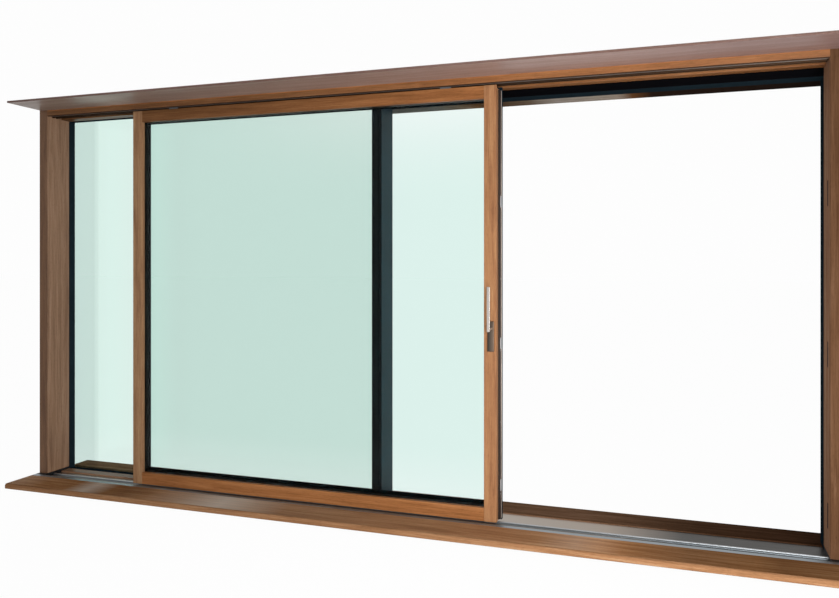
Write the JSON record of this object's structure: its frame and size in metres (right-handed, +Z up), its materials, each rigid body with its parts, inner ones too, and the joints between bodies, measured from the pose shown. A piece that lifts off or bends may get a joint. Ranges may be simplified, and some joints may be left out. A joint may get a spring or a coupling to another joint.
{
  "type": "lift and slide patio door",
  "caption": "Wide timber lift-and-slide patio door with a glazed sliding sash before a fixed glazed light, open doorway, deep sill and soffit boards, metal-clad outside and flush threshold",
  "frame": {"origin": "centre of the bounding box footprint, on the underside of the threshold", "axes": "+X along the door to the lock side, +Y to the outside, +Z up"},
  "size_m": [4.648, 0.708, 2.46],
  "materials": {
    "timber_boards": "satin oiled",
    "timber_frame": "satin oiled",
    "timber_sash": "satin oiled",
    "dark_timber": "satin oiled dark",
    "threshold_grey": "matte glass fibre",
    "anodised_silver": "natural anodised",
    "anthracite_metal": "powder coated satin",
    "stainless": "brushed",
    "bronze_metal": "dark bronze",
    "satin_bronze": "satin bronze",
    "zinc_steel": "zinc plated",
    "clear_glass": "clear, slightly green",
    "black_spacer": "matte",
    "black_seal": "matte",
    "brown_seal": "matte brown",
    "black_plastic": "matte",
    "grey_plastic": "matte"
  },
  "bodies": {
    "frame": {"sill_board": "timber_boards", "soffit_board": "timber_boards", "threshold_core": "threshold_grey", "threshold_cover": "anodised_silver", "threshold_front_trim": "anodised_silver", "running_rail": "anodised_silver", "jamb_end_blocks": "black_plastic", "fixed_bottom_cover": "dark_timber", "outer_sill_board": "dark_timber", "outer_head_board": "dark_timber", "left_jamb": "timber_frame", "right_jamb": "timber_frame", "lock_keeps": "anthracite_metal", "head_beam": "timber_frame", "head_strips": "timber_frame", "head_seal": "brown_seal", "guide_channel": "anodised_silver", "outer_jambs": "anthracite_metal", "mullion_body": "anthracite_metal", "outer_head_fixed": "anthracite_metal", "outer_frame_bottom": "anthracite_metal", "outer_head_profile": "anthracite_metal", "outer_head_cover": "black_plastic", "outer_glazing_beads": "anthracite_metal", "mullion_interlock": "anthracite_metal", "fixed_glass_panes": "clear_glass", "fixed_spacer": "black_spacer", "fixed_gaskets": "black_seal"},
    "running_gear": {"carriage_housings": "zinc_steel", "rollers": "zinc_steel", "carriage_rod": "zinc_steel"},
    "sash": {"sash_stiles": "timber_sash", "sash_top_rail": "timber_sash", "sash_bottom_rail": "timber_sash", "sash_clad_stiles": "anthracite_metal", "sash_clad_rails": "anthracite_metal", "sash_glass_panes": "clear_glass", "sash_spacer": "black_spacer", "sash_gaskets": "black_seal", "sash_guide_blocks": "grey_plastic", "sash_interlock": "anthracite_metal", "lock_carrier": "black_plastic", "lock_faceplate": "bronze_metal", "locking_points": "zinc_steel", "handle_plate": "satin_bronze"},
    "lever": {"handle_lever": "stainless"}
  },
  "joints": [
    {"name": "sash_slide", "type": "slide", "parent": "frame", "child": "running_gear", "axis": [1, 0, 0], "range_m": [-0.648, 1.55]},
    {"name": "sash_lift", "type": "slide", "parent": "running_gear", "child": "sash", "axis": [0, 0, 1], "range_m": [0, 0.006]},
    {"name": "lever_turn", "type": "hinge", "parent": "sash", "child": "lever", "pos_m": [0.664, -0.061, 1.078], "axis": [0, -1, 0], "range_deg": [0, 180.5]}
  ],
  "couplings": [
    {"joint": "lever_turn", "follows": "sash_lift", "rad_per_m": 523.6}
  ]
}
